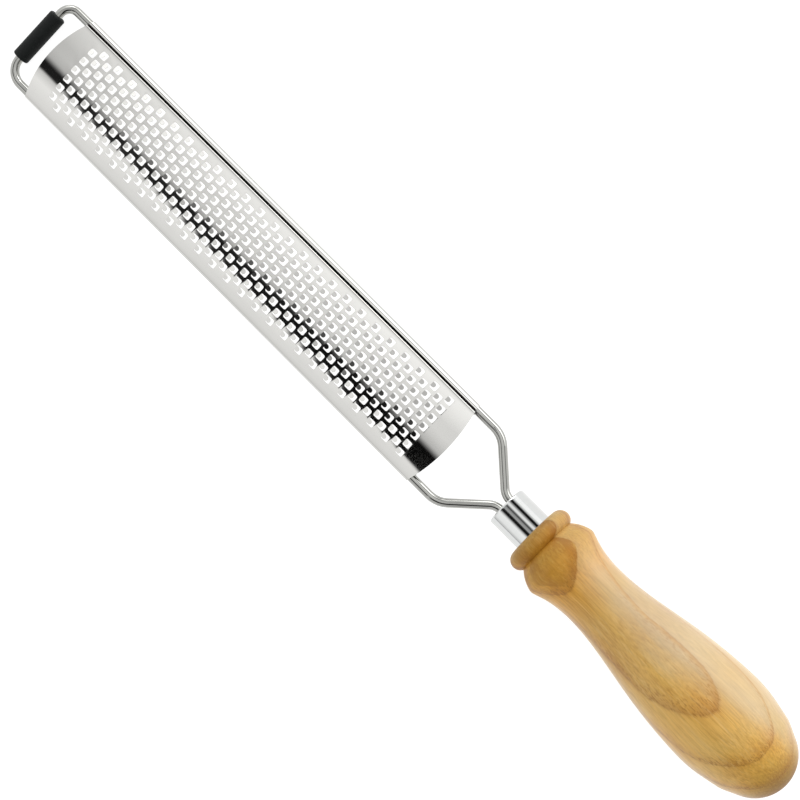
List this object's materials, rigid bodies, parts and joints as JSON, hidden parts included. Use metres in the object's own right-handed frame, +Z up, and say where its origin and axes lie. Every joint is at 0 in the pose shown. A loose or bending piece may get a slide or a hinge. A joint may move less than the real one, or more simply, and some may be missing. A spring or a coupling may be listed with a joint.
{
  "type": "rasp zester",
  "caption": "Hand rasp zester: arched etched-steel blade rolled onto a bent wire frame with a rubber foot at the tip, set through a metal ferrule in a turned wooden handle.",
  "frame": {"origin": "middle of the part's outline at the level of the table that it lies on", "axes": "+X runs along the tool from the rubber foot to the butt of the handle, +Z is up, towards the teeth, and +Y completes the right-handed frame"},
  "size_m": [0.3622, 0.037, 0.0372],
  "materials": {
    "blade_steel": "bright rolled stainless sheet with etched openings",
    "frame_steel": "polished stainless rod",
    "foot_rubber": "matt black moulded rubber",
    "ferrule_chrome": "mirror-bright plated cup",
    "handle_ash": "turned ash with a thin satin lacquer",
    "setting_resin": "cured clear amber resin, hidden in the bore"
  },
  "bodies": {
    "root": {"grater_blade": "blade_steel", "wire_frame": "frame_steel", "tip_foot": "foot_rubber", "ferrule": "ferrule_chrome", "handle": "handle_ash", "bore_resin": "setting_resin"}
  },
  "joints": []
}
